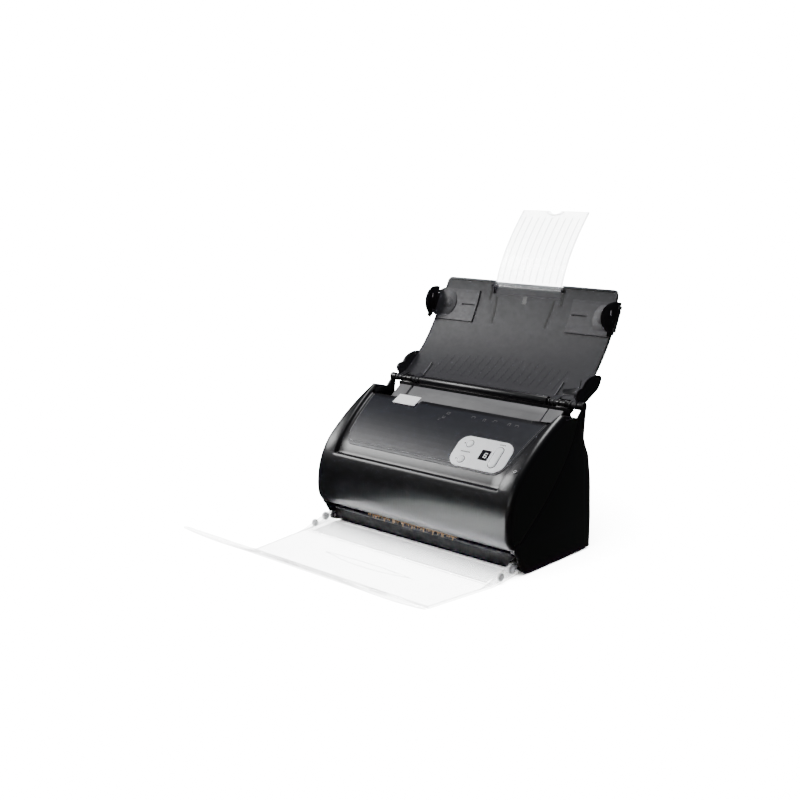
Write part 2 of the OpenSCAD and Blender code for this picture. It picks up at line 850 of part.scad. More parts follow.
// A rack along X above the pinion, with a tooth centred at x = 0.
function rack_teeth(p, x0, x1) =
    [for (i = [ceil(x0 / p):floor(x1 / p)], k = [0:3])
        [p * (i + [-0.29, -0.12, 0.12, 0.29][k]), rack_pitch + [1.15, -0.8, -0.8, 1.15][k] * rack_m]];
module rack(x0, x1) {
    root = rack_pitch + 1.15 * rack_m;
    translate([0, 0, -rack_depth[1]])
        linear_extrude(rack_depth[1] - rack_depth[0])
            polygon(concat([[x0, rack_back], [x0, root]], rack_teeth(PI * rack_m, x0 + 2, x1 - 2),
                           [[x1, root], [x1, rack_back]]));
}
guide_z = [260.5, 302];
guide_face = concat([face_point(guide_z[0])],
                    [for (p = chute_face) if (p.y > guide_z[0] + 2 && p.y < guide_z[1] - 2) p],
                    [face_point(guide_z[1])]);
plate_up = [0.35, 1.75];     // how far the guide plate's faces stand off the chute
wing_z = 282;
wing_r = 21.5;
disc_x = 135;
disc_r = 22;
plate_out = 141;
wing_axis = [guide_out + 1, 4.5];
wing_knuckles = [[-17, -13], [13, 17]];
right_wing_tilt = 40;
module guide_plate() {
    difference() {
        slab(guide_in, plate_out, band(guide_face, -plate_up[0], -plate_up[1]));
        on_face(wing_z) block([80, 103], [-1, 1], [-3, 5]);
    }
    intersection() {
        slab(disc_x - disc_r - 1, guide_out, band(guide_face, -plate_up[0], -plate_up[1] - 0.4));
        on_face(wing_z) translate([disc_x, 0, -4]) cylinder(h = 10, r = disc_r);
    }
    on_face(wing_z)
        for (y = wing_knuckles)
            difference() {
                union() {
                    wing_rod(y, 1.6);
                    block([guide_out - 0.5, guide_out + 2.6], y, [1.3, wing_axis.y]);
                }
                wing_rod([y[0] - 1, y[1] + 1], 0.8);
            }
}
// The stem runs from the guide plate through the chute's slot to the rack.
module guide_stem(side, low) {
    edges = side < 0 ? [-stem_x - 3, -stem_x + 3] : [stem_x - 3, stem_x + 3];
    on_face(rack_z) {
        block(edges, [3.4, 6.6], [-rack_depth[1], 1.2]);
        block(edges, [low, 6.6], [-rack_depth[1], -rack_depth[0]]);
    }
}
module left_guide() {
    color("#3a3a3e")
        stand() union() {
            mirror([1, 0, 0]) guide_plate();
            guide_stem(-1, 3.4);
            on_face(rack_z) rack(-stem_x + 2, 10);
        }
}
module right_guide() {
    color("#3a3a3e")
        stand() union() {
            guide_plate();
            guide_stem(1, -rack_back);
            on_face(rack_z) mirror([0, 1, 0]) rack(-10, stem_x - 2);
        }
}
module guide_pinion() {
    color("#d8d4c8")
        stand() on_face(rack_z) difference() {
            translate([0, 0, -rack_depth[1]])
                gear(2 * rack_pitch, rack_m, rack_depth[1] - rack_depth[0], 0);
            translate([0, 0, -9]) cylinder(h = 8, r = 1.5 + fit);
        }
}
// A short rod along the feed direction, about the wing's hinge axis.
module wing_rod(y, r) {
    translate([wing_axis.x, y[0], wing_axis.y])
        rotate([-90, 0, 0])
            cylinder(h = y[1] - y[0], r = r);
}
// Half disc on the guide's outer edge, leaning inwards by a tilt. It folds flat over the disc.
module guide_wing(tilt) {
    on_face(wing_z) translate([wing_axis.x, 0, wing_axis.y]) rotate([0, -tilt, 0])
        translate([-wing_axis.x, 0, -wing_axis.y]) {
        difference() {
            translate([wing_axis.x, 0, wing_axis.y])
                rotate([0, 90, 0])
                    linear_extrude(1.6, center = true)
                        intersection() {
                            circle(r = wing_r);
                            translate([-wing_r - 1, -wing_r]) square([wing_r + 1, 2 * wing_r]);
                        }
            for (y = wing_knuckles)
                wing_rod([y[0] - 0.4, y[1] + 0.4], 2.2);
        }
        for (y = [[-wing_r, wing_knuckles[0][0] - 0.4], [wing_knuckles[0][1] + 0.4, wing_knuckles[1][0] - 0.4],
                  [wing_knuckles[1][1] + 0.4, wing_r]])
            wing_rod(y, 1.2);
        wing_rod([-wing_r + 2, wing_r - 2], 0.75);
    }
}
module left_guide_wing() {
    color("#0c0c0e")
        stand() mirror([1, 0, 0]) guide_wing(0);
}
module right_guide_wing() {
    color("#0c0c0e")
        stand() guide_wing(right_wing_tilt);
}

extension_face = bezier(flap_axis, [174.5, 357], [225, 412], 12);
module chute_extension() {
    color("#dfe6ea", 0.5)
        stand() union() {
            difference() {
                slab(-extension_w / 2, extension_w / 2, band(extension_face, 0, 2));
                translate([0, 230, 420]) rotate([90, 0, 0]) cylinder(h = 60, r = 12.5);
            }
            rod(-extension_w / 2, extension_w / 2, flap_axis, 2.2);
            both_sides() rod(extension_w / 2 - 1, flap_lug[1], flap_axis, flap_pin_r);
        }
}

// ---- output tray ---------------------------------------------------------------------

crease = [-104, 3];
fold = [-206, 3.3];          // hinge between the tray and its extension
fold_r = 2.2;
fold_pin_r = 1.2;
arm_x = [151.6, 154.6];
tray_knuckle = [60, 84];
taper = (tray_half - tray_front_half) / (crease.x - fold.x);
function half_at(y) = tray_half - taper * (crease.x - y);
module tray_plan(y0, y1) {
    translate([0, 0, -5])
        linear_extrude(100)
            polygon([[-half_at(y1), y1], [-half_at(y0), y0], [half_at(y0), y0], [half_at(y1), y1]]);
}
module output_tray() {
    deck = [[-57.5, 7.2], [-62, 6.4], crease, [fold.x + fold_r + 0.5, 3]];
    color("#e6ecef", 0.5)
        stand() difference() {
            union() {
                intersection() {
                    slab(-half, half, band(deck, 0, -tray_t));
                    union() {
                        tray_plan(fold.x, crease.x + eps);
                        block([-tray_half, tray_half], [crease.x, -50], [-5, 20]);
                    }
                }
                both_sides() {
                    slab(arm_x[0], arm_x[1], concat(
                        arc(tray_pivot, 5.2, 60, 150),
                        [[-78, 8.5], [-96, 4.4], [-96, 2.6], [-62, 5], [-57.4, 6]]));
                    rod(tray_knuckle[0], tray_knuckle[1], fold, fold_r);
                    slab(tray_knuckle[0], tray_knuckle[1],
                         [[fold.x, 1], [fold.x + 6, 1], [fold.x + 6, 3], [fold.x, 3]]);
                }
            }
            both_sides() {
                rod(arm_x[0] - 1, arm_x[1] + 1, tray_pivot, 2.5 + fit);
                rod(tray_knuckle[0] - 1, tray_knuckle[1] + 1, fold, fold_pin_r + fit);
            }
        }
}
tray_tip = [-320, 64];
module tray_extension() {
    top = bezier([fold.x - 1, fold.y + 0.1], [-262, 27], tray_tip, 10);
    edge = half_at(fold.x);
    color("#e6ecef", 0.5)
        stand() union() {
            difference() {
                union() {
                    intersection() {
                        slab(-half, half, band(top, 0, -tray_t));
                        tray_plan(tray_tip.x - 2, fold.x);
                    }
                    rod(-edge, edge, fold, fold_r);
                }
                both_sides()
                    rod(tray_knuckle[0] - 0.4, tray_knuckle[1] + 0.4, fold, fold_r + 0.6);
            }
            both_sides() rod(tray_knuckle[0] - 2, tray_knuckle[1] + 2, fold, fold_pin_r);
        }
}

left_side_panel();
right_side_panel();
rear_cover();
bottom_plate();
exit_sill();
rear_paper_guide();
entry_ramp();
rear_scan_glass();
rear_image_sensor();
side_frames();
stepper_motor();
main_board();
dc_jack();
usb_port();
switch_housing();
power_switch();
rubber_feet();
housing_screws();
hinge_brackets();
chute_hinge_pins();
cover_pivot_pins();
pick_roller();
pick_shaft();
feed_roller();
feed_shaft();
exit_roller();
exit_shaft();
idler_gear();
small_idler_gear();
motor_pinion();
front_cover_shell();
top_panel();
control_plate();
display_window();
control_board();
inner_paper_guide();
front_scan_glass();
front_image_sensor();
separation_pad();
static_brush();
status_light();
feed_pinch_rollers();
exit_pinch_rollers();
release_tab();
latch_shaft();
up_button();
down_button();
scan_button();
chute_panel();
rack_cover();
left_guide();
right_guide();
left_guide_wing();
right_guide_wing();
guide_pinion();
chute_extension();
output_tray();
tray_extension();
tray_hinge_pins();
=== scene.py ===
"""Looks of a sheet fed document scanner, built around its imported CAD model."""

import json
import math

import bmesh
import bpy
from mathutils import Matrix, Vector


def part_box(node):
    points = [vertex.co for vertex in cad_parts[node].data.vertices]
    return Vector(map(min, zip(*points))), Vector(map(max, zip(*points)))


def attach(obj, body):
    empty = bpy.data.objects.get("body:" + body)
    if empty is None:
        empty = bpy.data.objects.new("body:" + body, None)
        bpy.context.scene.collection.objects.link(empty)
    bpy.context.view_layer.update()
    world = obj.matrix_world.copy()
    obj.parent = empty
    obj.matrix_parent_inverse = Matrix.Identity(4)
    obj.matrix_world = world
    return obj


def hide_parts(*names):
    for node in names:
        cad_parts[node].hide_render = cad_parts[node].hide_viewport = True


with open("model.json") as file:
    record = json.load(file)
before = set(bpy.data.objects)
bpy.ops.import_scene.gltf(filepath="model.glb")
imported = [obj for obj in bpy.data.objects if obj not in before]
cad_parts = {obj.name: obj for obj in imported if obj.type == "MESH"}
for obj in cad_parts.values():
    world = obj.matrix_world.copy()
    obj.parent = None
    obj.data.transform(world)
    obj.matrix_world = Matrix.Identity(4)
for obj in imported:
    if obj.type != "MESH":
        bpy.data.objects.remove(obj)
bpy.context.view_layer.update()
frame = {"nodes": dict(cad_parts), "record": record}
record = frame["record"]
nodes = frame["nodes"]
MM = 0.001


# ---- camera ----------------------------------------------------------------------------

AZIMUTH = math.radians(42.28)      # from the front towards the right side
ELEVATION = math.radians(11.51)
DISTANCE = 1.300
AIM = Vector((0.0554, -0.104, 0.2126))
LENS = 51.72


def add_camera():
    data = bpy.data.cameras.new("camera")
    data.lens = LENS
    data.sensor_width = 36
    camera = bpy.data.objects.new("camera", data)
    bpy.context.collection.objects.link(camera)
    flat = math.cos(ELEVATION)
    away = Vector((flat * math.sin(AZIMUTH), -flat * math.cos(AZIMUTH), math.sin(ELEVATION)))
    camera.location = AIM + DISTANCE * away
    camera.rotation_euler = (-away).to_track_quat("-Z", "Y").to_euler()
    bpy.context.scene.camera = camera


# ---- materials -------------------------------------------------------------------------


class Shade:
    """A Principled material and short ways to add procedural detail to it."""

    def __init__(self, name, colour, roughness, **sockets):
        self.material = bpy.data.materials.new(name)
        self.material.use_nodes = True
        self.tree = self.material.node_tree
        self.shader = self.tree.nodes["Principled BSDF"]
        self.shader.inputs["Base Color"].default_value = (*colour, 1)
        self.shader.inputs["Roughness"].default_value = roughness
        self.colour = colour
        self.roughness = roughness
        for socket, value in sockets.items():
            self.shader.inputs[socket.replace("_", " ")].default_value = value
        self.place = self.tree.nodes.new("ShaderNodeTexCoord").outputs["Object"]

    def noise(self, scale, detail=4.0):
        node = self.tree.nodes.new("ShaderNodeTexNoise")
        node.inputs["Scale"].default_value = scale
        node.inputs["Detail"].default_value = detail
        self.tree.links.new(self.place, node.inputs["Vector"])
        return node.outputs["Fac"]

    def spread(self, fac, low, high):
        """fac's middle range drawn out to low..high."""
        node = self.tree.nodes.new("ShaderNodeMapRange")
        node.inputs["From Min"].default_value = 0.3
        node.inputs["From Max"].default_value = 0.7
        node.inputs["To Min"].default_value = low
        node.inputs["To Max"].default_value = high
        self.tree.links.new(fac, node.inputs["Value"])
        return node.outputs["Result"]

    def vary_roughness(self, scale, by):
        fac = self.spread(self.noise(scale), self.roughness - by, self.roughness + by)
        self.tree.links.new(fac, self.shader.inputs["Roughness"])
        return self

    def vary_colour(self, scale, by):
        mix = self.tree.nodes.new("ShaderNodeMix")
        mix.data_type = "RGBA"
        mix.inputs["A"].default_value = (*[c * (1 - by) for c in self.colour], 1)
        mix.inputs["B"].default_value = (*[min(1, c * (1 + by)) for c in self.colour], 1)
        self.tree.links.new(self.spread(self.noise(scale), 0, 1), mix.inputs["Factor"])
        self.tree.links.new(mix.outputs["Result"], self.shader.inputs["Base Color"])
        return self

    def grain(self, scale, height, strength=0.5):
        bump = self.tree.nodes.new("ShaderNodeBump")
        bump.inputs["Distance"].default_value = height
        bump.inputs["Strength"].default_value = strength
        self.tree.links.new(self.noise(scale, 3.0), bump.inputs["Height"])
        self.tree.links.new(bump.outputs["Normal"], self.shader.inputs["Normal"])
        return self


def gloss_black():
    shade = Shade("black_gloss", (0.0028, 0.0028, 0.0042), 0.31, Specular_IOR_Level=0.5)
    return shade.vary_roughness(140, 0.02).vary_colour(30, 0.12).grain(1100, 0.00001, 0.15)


def panel_black():
    shade = Shade("panel_blue_black", (0.006, 0.007, 0.012), 0.4, Specular_IOR_Level=0.4)
    return shade.vary_roughness(160, 0.03).vary_colour(25, 0.1).grain(1400, 0.00002, 0.3)


def charcoal():
    shade = Shade("charcoal", (0.0165, 0.0165, 0.0205), 0.5, Specular_IOR_Level=0.35)
    return shade.vary_roughness(200, 0.05).vary_colour(40, 0.08).grain(1600, 0.00005, 0.5)


def guide_grey():
    shade = Shade("guide_grey", (0.022, 0.022, 0.027), 0.48, Specular_IOR_Level=0.4)
    return shade.vary_roughness(200, 0.05).vary_colour(40, 0.08).grain(1600, 0.00005, 0.5)


def ramp_grey():
    shade = Shade("ramp_grey", (0.125, 0.125, 0.13), 0.5, Specular_IOR_Level=0.35)
    return shade.vary_roughness(200, 0.05).vary_colour(40, 0.08).grain(1500, 0.00005, 0.4)


def silver_paint():
    shade = Shade("silver_plastic", (0.86, 0.87, 0.89), 0.38)
    return shade.vary_roughness(400, 0.05).vary_colour(900, 0.05).grain(2500, 0.00002, 0.3)


def white_plastic():
    shade = Shade("white_plastic", (0.93, 0.94, 0.95), 0.4)
    return shade.vary_roughness(200, 0.04).vary_colour(40, 0.02).grain(1500, 0.00002, 0.3)


def display_black():
    shade = Shade("display", (0.006, 0.006, 0.008), 0.12, Coat_Weight=0.5, Coat_Roughness=0.05)
    return shade.vary_roughness(300, 0.02).vary_colour(60, 0.1)


def clear(name, tint, roughness, transmission=0.9, alpha=0.5):
    shade = Shade(name, tint, roughness, IOR=1.49, Transmission_Weight=transmission, Alpha=alpha)
    return shade.vary_roughness(90, 0.03).vary_colour(18, 0.02).grain(260, 0.00004, 0.2)


def rubber_black():
    shade = Shade("rubber", (0.02, 0.02, 0.021), 0.75)
    return shade.vary_roughness(150, 0.08).vary_colour(60, 0.15).grain(900, 0.0001, 0.5)


def roller_rubber():
    shade = Shade("roller_rubber", (0.035, 0.05, 0.07), 0.62)
    return shade.vary_roughness(150, 0.08).vary_colour(80, 0.12).grain(700, 0.0001, 0.5)


def pad_rubber():
    shade = Shade("pad_rubber", (0.12, 0.07, 0.04), 0.7)
    return shade.vary_roughness(150, 0.08).vary_colour(70, 0.15).grain(700, 0.0001, 0.5)


def metal(name, colour, roughness):
    shade = Shade(name, colour, roughness, Metallic=1.0)
    return shade.vary_roughness(260, 0.06).vary_colour(90, 0.06).grain(1800, 0.00002, 0.2)


def nylon():
    shade = Shade("nylon", (0.6, 0.58, 0.52), 0.45)
    return shade.vary_roughness(180, 0.05).vary_colour(70, 0.05).grain(1200, 0.00003, 0.3)


def board_green():
    shade = Shade("board_green", (0.02, 0.1, 0.04), 0.4)
    return shade.vary_roughness(300, 0.08).vary_colour(420, 0.4).grain(900, 0.00008, 0.5)


def sensor_body():
    shade = Shade("sensor_body", (0.03, 0.04, 0.035), 0.5)
    return shade.vary_roughness(200, 0.05).vary_colour(60, 0.1).grain(900, 0.00004, 0.4)


def brush_fibre():
    shade = Shade("brush_fibre", (0.12, 0.075, 0.035), 0.6)
    return shade.vary_roughness(600, 0.1).vary_colour(900, 0.45).grain(1800, 0.0002, 0.8)


MATERIALS = {
    "black_gloss": gloss_black(),
    "panel_blue_black": panel_black(),
    "charcoal": charcoal(),
    "guide_grey": guide_grey(),
    "ramp_grey": ramp_grey(),
    "silver_plastic": silver_paint(),
    "white_plastic": white_plastic(),
    "display": display_black(),
    "clear_tray": clear("clear_tray", (0.97, 0.98, 0.99), 0.12, alpha=0.4),
    "clear_extension": clear("clear_extension", (0.88, 0.9, 0.91), 0.18, alpha=0.5),
    "scan_glass": clear("scan_glass", (0.7, 0.78, 0.8), 0.05),
    "rubber": rubber_black(),
    "roller_rubber": roller_rubber(),
    "pad_rubber": pad_rubber(),
    "steel": metal("steel", (0.55, 0.55, 0.56), 0.3),
    "nylon": nylon(),
    "brass_metal": metal("brass_metal", (0.62, 0.42, 0.16), 0.3),
    "board_green": board_green(),
    "sensor_body": sensor_body(),
    "brush_fibre": brush_fibre(),
    "motor_metal": metal("motor_metal", (0.42, 0.42, 0.43), 0.38),
    "connector_metal": metal("connector_metal", (0.6, 0.6, 0.62), 0.25),
}
SLOT_OF = {part["node"]: part["material_slot"] for part in record["subparts"]}


def dress(obj, slot):
    """Gives obj one material, the slot's. The clear parts throw no shadow."""
    obj.data.materials.clear()
    obj.data.materials.append(MATERIALS[slot].material)
    obj.visible_shadow = not slot.startswith("clear")


# ---- mesh helpers ----------------------------------------------------------------------


def new_piece(name, mesh, body, slot):
    obj = bpy.data.objects.new(name, mesh)
    bpy.context.collection.objects.link(obj)
    dress(obj, slot)
    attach(obj, body)
    return obj


def smooth_by_angle(mesh, degrees=32):
    work = bmesh.new()
    work.from_mesh(mesh)
    limit = math.radians(degrees)
    for face in work.faces:
        face.smooth = True
    for edge in work.edges:
        edge.smooth = len(edge.link_faces) == 2 and edge.calc_face_angle(0) < limit
    work.to_mesh(mesh)
    work.free()


BODY_OF = {node: body for body, members in record["behaviour"]["bodies"].items() for node in members}


def softened(node, width, segments=3, angle=35, only=None, slot=None):
    """A copy of a CAD node with rounded edges, which stands for the node.

    only picks the edges by their middle point, and slot gives a look other than the record's."""
    mesh = nodes[node].data.copy()
    mesh.name = node + "_finished"
    work = bmesh.new()
    work.from_mesh(mesh)
    bmesh.ops.remove_doubles(work, verts=work.verts, dist=1e-6)
    bmesh.ops.dissolve_limit(work, angle_limit=math.radians(0.6), verts=work.verts, edges=work.edges)
    sharp = [e for e in work.edges if len(e.link_faces) == 2 and e.calc_face_angle(0) > math.radians(angle)]
    if only:
        sharp = [e for e in sharp if only((e.verts[0].co + e.verts[1].co) / 2)]
    bmesh.ops.bevel(work, geom=sharp, offset=width, offset_type="OFFSET", segments=segments,
                    profile=0.5, affect="EDGES", clamp_overlap=True)
    work.to_mesh(mesh)
    work.free()
    smooth_by_angle(mesh)
    obj = new_piece(node + "_finished", mesh, BODY_OF[node], slot or SLOT_OF[node])
    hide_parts(node)
    return obj


# ---- curves and surfaces, in millimetres from the body's middle ---------------------------

BODY_Y = 48


def at(x, y, z):
    """A place in the body's own millimetres, as a point of the row frame."""
    return Vector((x, y + BODY_Y, z)) * MM


def bezier(a, b, c, n):
    a, b, c = Vector(a), Vector(b), Vector(c)
    steps = [i / n for i in range(n + 1)]
    return [(1 - t) ** 2 * a + 2 * t * (1 - t) * b + t * t * c for t in steps]


def arc(centre, r, start, end, n=8):
    turns = [math.radians(start + (end - start) * i / n) for i in range(n + 1)]
    return [Vector(centre) + r * Vector((math.cos(t), math.sin(t))) for t in turns]


def smooth(t):
    t = min(1, max(0, t))
    return t * t * (3 - 2 * t)


class Surface:
    """A [y, z] curve drawn across the body. s runs along it, and h stands out of it."""

    def __init__(self, points, out):
        self.points = points
        self.out = out
        self.reach = [0.0]
        for a, b in zip(points, points[1:]):
            self.reach.append(self.reach[-1] + (b - a).length)

    def spot(self, s):
        last = len(self.points) - 2
        i = next((k for k in range(last) if self.reach[k + 1] > s), last)
        a, b = self.points[i], self.points[i + 1]
        return i, a + (b - a) * (s - self.reach[i]) / (b - a).length

    def normal(self, s):
        a, b = self.spot(s - 1)[1], self.spot(s + 1)[1]
        along = (b - a).normalized()
        return Vector((along.y, -along.x)) * self.out

    def place(self, x, s, h=0.0):
        p = self.spot(s)[1] + h * self.normal(s)
        return at(x, p.x, p.y)

    def s_where(self, axis, value):
        """Where the curve's y (axis 0) or z (axis 1) first passes value."""
        for i, (a, b) in enumerate(zip(self.points, self.points[1:])):
            if min(a[axis], b[axis]) <= value <= max(a[axis], b[axis]):
                part = (value - a[axis]) / (b[axis] - a[axis])
                return self.reach[i] + part * (b - a).length
        raise ValueError(f"the curve never reaches {value}")

    def frame(self, x, s, h=0.0):
        """Local axes on the surface in millimetres: X across, Y along s, Z out."""
        out = self.normal(s)
        z = Vector((0, out.x, out.y))
        axes = Matrix((Vector((1, 0, 0)), z.cross(Vector((1, 0, 0))), z)).transposed().to_4x4()
        return Matrix.Translation(self.place(x, s, h)) @ axes @ Matrix.Scale(MM, 4)


COVER_TOP = bezier((25, 181), (-24, 157), (-60, 122), 40)
COVER_NOSE = bezier((-60, 122), (-82.5, 96.3), (-82.5, 60), 24)
COVER_CHIN = bezier((-82.5, 60), (-82.5, 42), (-71.5, 35.2), 12)
COVER = Surface(COVER_TOP + COVER_NOSE[1:] + COVER_CHIN[1:], 1)
CHUTE = Surface(bezier((75, 189), (142.4, 236.2), (166, 318), 32), -1)


def mesh_of(work, name):
    bmesh.ops.remove_doubles(work, verts=work.verts, dist=1e-6)
    bmesh.ops.dissolve_degenerate(work, edges=work.edges, dist=1e-6)
    bmesh.ops.recalc_face_normals(work, faces=work.faces)
    mesh = bpy.data.meshes.new(name)
    work.to_mesh(mesh)
    work.free()
    smooth_by_angle(mesh)
    return mesh


def thick_sheet(name, outer, inner, body, slot):
    """A closed sheet between two grids of points, each a list of rows."""
    work = bmesh.new()
    front = [[work.verts.new(p) for p in row] for row in outer]
    back = [[work.verts.new(p) for p in row] for row in inner]
    rows, columns = len(outer), len(outer[0])
    for r in range(rows - 1):
        for c in range(columns - 1):
            for grid in (front, back):
                work.faces.new((grid[r][c], grid[r][c + 1], grid[r + 1][c + 1], grid[r + 1][c]))
    for c in range(columns - 1):
        for r in (0, rows - 1):
            work.faces.new((front[r][c], front[r][c + 1], back[r][c + 1], back[r][c]))
    for r in range(rows - 1):
        for c in (0, columns - 1):
            work.faces.new((front[r][c], front[r + 1][c], back[r + 1][c], back[r][c]))
    return new_piece(name, mesh_of(work, name), body, slot)


def plate(name, outline, depth, place, body, slot, soft=0.0, segments=2):
    """A flat [x, y] outline drawn up by depth in a local frame."""
    work = bmesh.new()
    face = work.faces.new([work.verts.new((p[0], p[1], 0)) for p in outline])
    grown = bmesh.ops.extrude_face_region(work, geom=[face])["geom"]
    lifted = [v for v in grown if isinstance(v, bmesh.types.BMVert)]
    bmesh.ops.translate(work, verts=lifted, vec=(0, 0, depth))
    if soft:
        rims = [e for e in work.edges if abs(e.verts[0].co.z - e.verts[1].co.z) < 1e-6]
        bmesh.ops.bevel(work, geom=rims, offset=soft, offset_type="OFFSET", segments=segments,
                        profile=0.5, affect="EDGES", clamp_overlap=True)
    bmesh.ops.transform(work, matrix=place, verts=work.verts)
    return new_piece(name, mesh_of(work, name), body, slot)


def bead(name, surface, path, width, low, high, body, slot, soft=0.25):
    """A bar of even width along a path of (x, s) points on a surface."""
    half = width / 2
    section = [(-half, low), (-half, high - soft), (soft - half, high),
               (half - soft, high), (half, high - soft), (half, low)]
    work = bmesh.new()
    rings = []
    for i, here in enumerate(path):
        ahead = Vector(path[min(i + 1, len(path) - 1)]) - Vector(path[max(i - 1, 0)])
        side = Vector((ahead.y, -ahead.x)).normalized()
        spots = [(Vector(here) + side * across, h) for across, h in section]
        rings.append([work.verts.new(surface.place(p.x, p.y, h)) for p, h in spots])
    for a, b in zip(rings, rings[1:]):
        for k in range(len(section)):
            n = (k + 1) % len(section)
            work.faces.new((a[k], a[n], b[n], b[k]))
    work.faces.new(rings[0])
    work.faces.new(rings[-1])
    return new_piece(name, mesh_of(work, name), body, slot)


def circle(r, n=32, centre=(0, 0)):
    return arc(centre, r, 0, 360 - 360 / n, n - 1)


def box_outline(w, l, r=0.0, n=4):
    """A rectangle about the origin with rounded corners."""
    if not r:
        return [(-w / 2, -l / 2), (w / 2, -l / 2), (w / 2, l / 2), (-w / 2, l / 2)]
    corners = ((w / 2 - r, l / 2 - r, 0), (r - w / 2, l / 2 - r, 90),
               (r - w / 2, r - l / 2, 180), (w / 2 - r, r - l / 2, 270))
    return [p for x, y, turn in corners for p in arc((x, y), r, turn, turn + 90, n)]


TO_X = Matrix(((0, 0, 1, 0), (1, 0, 0, 0), (0, 1, 0, 0), (0, 0, 0, 1)))


def along_x(x, y, z):
    """A local frame whose Z runs across the body from x, about a [y, z] centre."""
    return Matrix.Translation(at(x, y, z)) @ TO_X @ Matrix.Scale(MM, 4)


def shift(x, y, z=0.0):
    return Matrix.Translation((x, y, z))


SIDES = ((-1, "left"), (1, "right"))


def outward(side, inner, depth):
    """The x at which a plate of this depth starts, so that it reaches out from inner on its side."""
    return inner if side > 0 else -inner - depth


# ---- front cover -------------------------------------------------------------------------

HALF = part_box("right_side_panel")[1].x / MM
COVER_WALL = 2.5
CAP_T = 3.35
GROOVE_Y = -71.7
RECESS_LOW_HALF = 133.5
RECESS_TOP_HALF = 150.5
RECESS_SLOPE = (RECESS_TOP_HALF - RECESS_LOW_HALF) / (25 - GROOVE_Y)
FLOOR_DEPTH = 4.9
BACK_FLOOR_DEPTH = 5.95      # behind the panel, where the folded extension lies
SIDE_ROUND = 7.5
TAB_NOTCH = (-101, -59)
COVER_PIVOT = (-63, 36)
SEAM = bezier((-59.9, 42.8), (37.4, 110), (54.4, 173.6), 30)
SEAM_ROUND = arc(COVER_PIVOT, 7.4, 183, 62, 8)
BACK_Y = 25                  # the cover's back edge along its rails
TIGHT_ROUND = 0.86           # share of a rail's width that its outer edge's rounding takes
ARM_IN = 152.8               # inside faces of the pivot arms and of the blocks that end the rails
RAIL_END_IN = 150.6
RAIL_END_OUT = HALF - 2


def recess_half(s):
    y = COVER.spot(s)[1].x
    return RECESS_LOW_HALF + RECESS_SLOPE * (y - GROOVE_Y)


def recess_depth(x, s):
    """How far the cover lies below its outer curve: a floor with softly rounded walls."""
    inside = min(recess_half(s) - abs(x), COVER.s_where(0, GROOVE_Y) - s)
    floor = FLOOR_DEPTH if s > COVER.s_where(0, 12) else BACK_FLOOR_DEPTH
    return floor * smooth((inside + 1.6) / 4.2)


def side_depth(x, s):
    """The rounding of the cover's side edges, tighter where the rails get narrow."""
    above = s < COVER.s_where(0, GROOVE_Y)
    r = min(SIDE_ROUND, TIGHT_ROUND * (HALF - recess_half(s))) if above else SIDE_ROUND
    over = abs(x) - (HALF - r)
    return r - math.sqrt(max(0, r * r - over * over)) if over > 0 else 0.0


def cover_columns(s):
    """Places across the cover, close together at the walls and the rounded ends."""
    floor = [0, 30, 58.8, 59.2, 80, 100.8, 101.2, 118]
    walls = [recess_half(s) - d for d in (2.7, 1.9, 1.2, 0.5, -0.2, -0.9, -1.7)]
    r = min(SIDE_ROUND, TIGHT_ROUND * (HALF - recess_half(s)))
    if s >= COVER.s_where(0, GROOVE_Y):
        r = SIDE_ROUND
        walls = [RECESS_LOW_HALF - 3 + k for k in range(7)]
    ends = [HALF - r * (1 - math.sin(math.radians(a))) for a in (0, 12, 24, 36, 48, 60, 72, 82, 90)]
    right = floor + walls + ends
    return [-x for x in reversed(right[1:])] + right


def cover_back(x, s):
    """Between its rails the cover stops short of the paper ramp, and more so at the tab."""
    if abs(x) >= recess_half(s) - 0.1:
        return BACK_Y
    return 8 if TAB_NOTCH[0] < x < TAB_NOTCH[1] else 14


